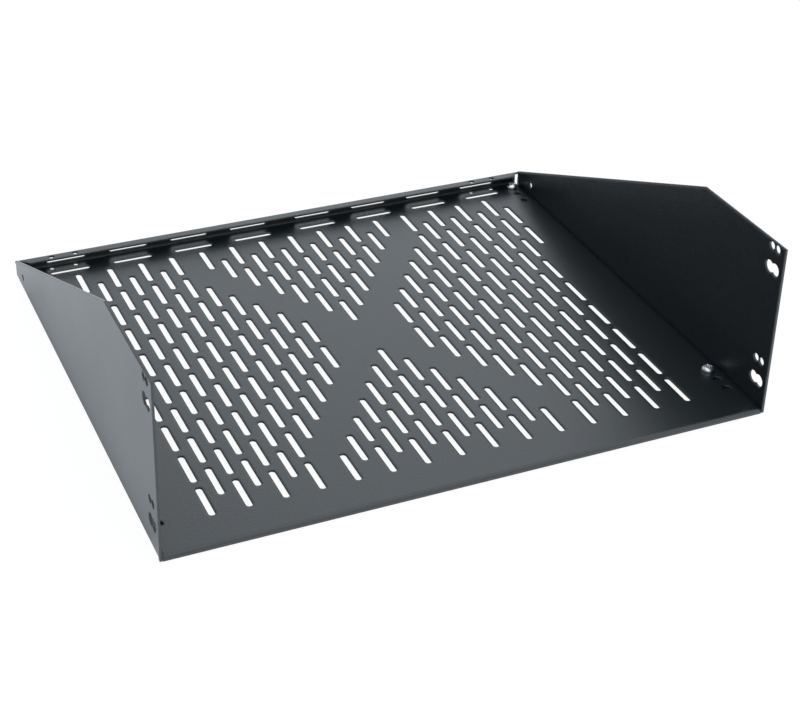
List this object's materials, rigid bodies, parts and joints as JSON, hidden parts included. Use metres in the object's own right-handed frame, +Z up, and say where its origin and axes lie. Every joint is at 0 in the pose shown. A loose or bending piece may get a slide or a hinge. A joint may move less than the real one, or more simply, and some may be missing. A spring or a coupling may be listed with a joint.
{
  "type": "cantilever rack shelf",
  "caption": "Vented steel cantilever rack shelf: a slotted folded tray with a low back wall, screwed between two side panels that taper from the front mounting holes to the back.",
  "frame": {"origin": "middle of the footprint, on the plane that the shelf stands on, which is the underside of the nuts below its flanges", "axes": "+X to the right as seen from the open front, +Y from the open front to the back wall, +Z up out of the tray"},
  "size_m": [0.44, 0.381, 0.1328],
  "materials": {
    "powder_coat": "fine-textured satin powder coat, black",
    "zinc_plate": "bright zinc plate"
  },
  "bodies": {
    "root": {"tray": "powder_coat", "side_panel_left": "powder_coat", "side_panel_right": "powder_coat", "screws": "zinc_plate", "clinch_nuts": "zinc_plate"}
  },
  "joints": []
}
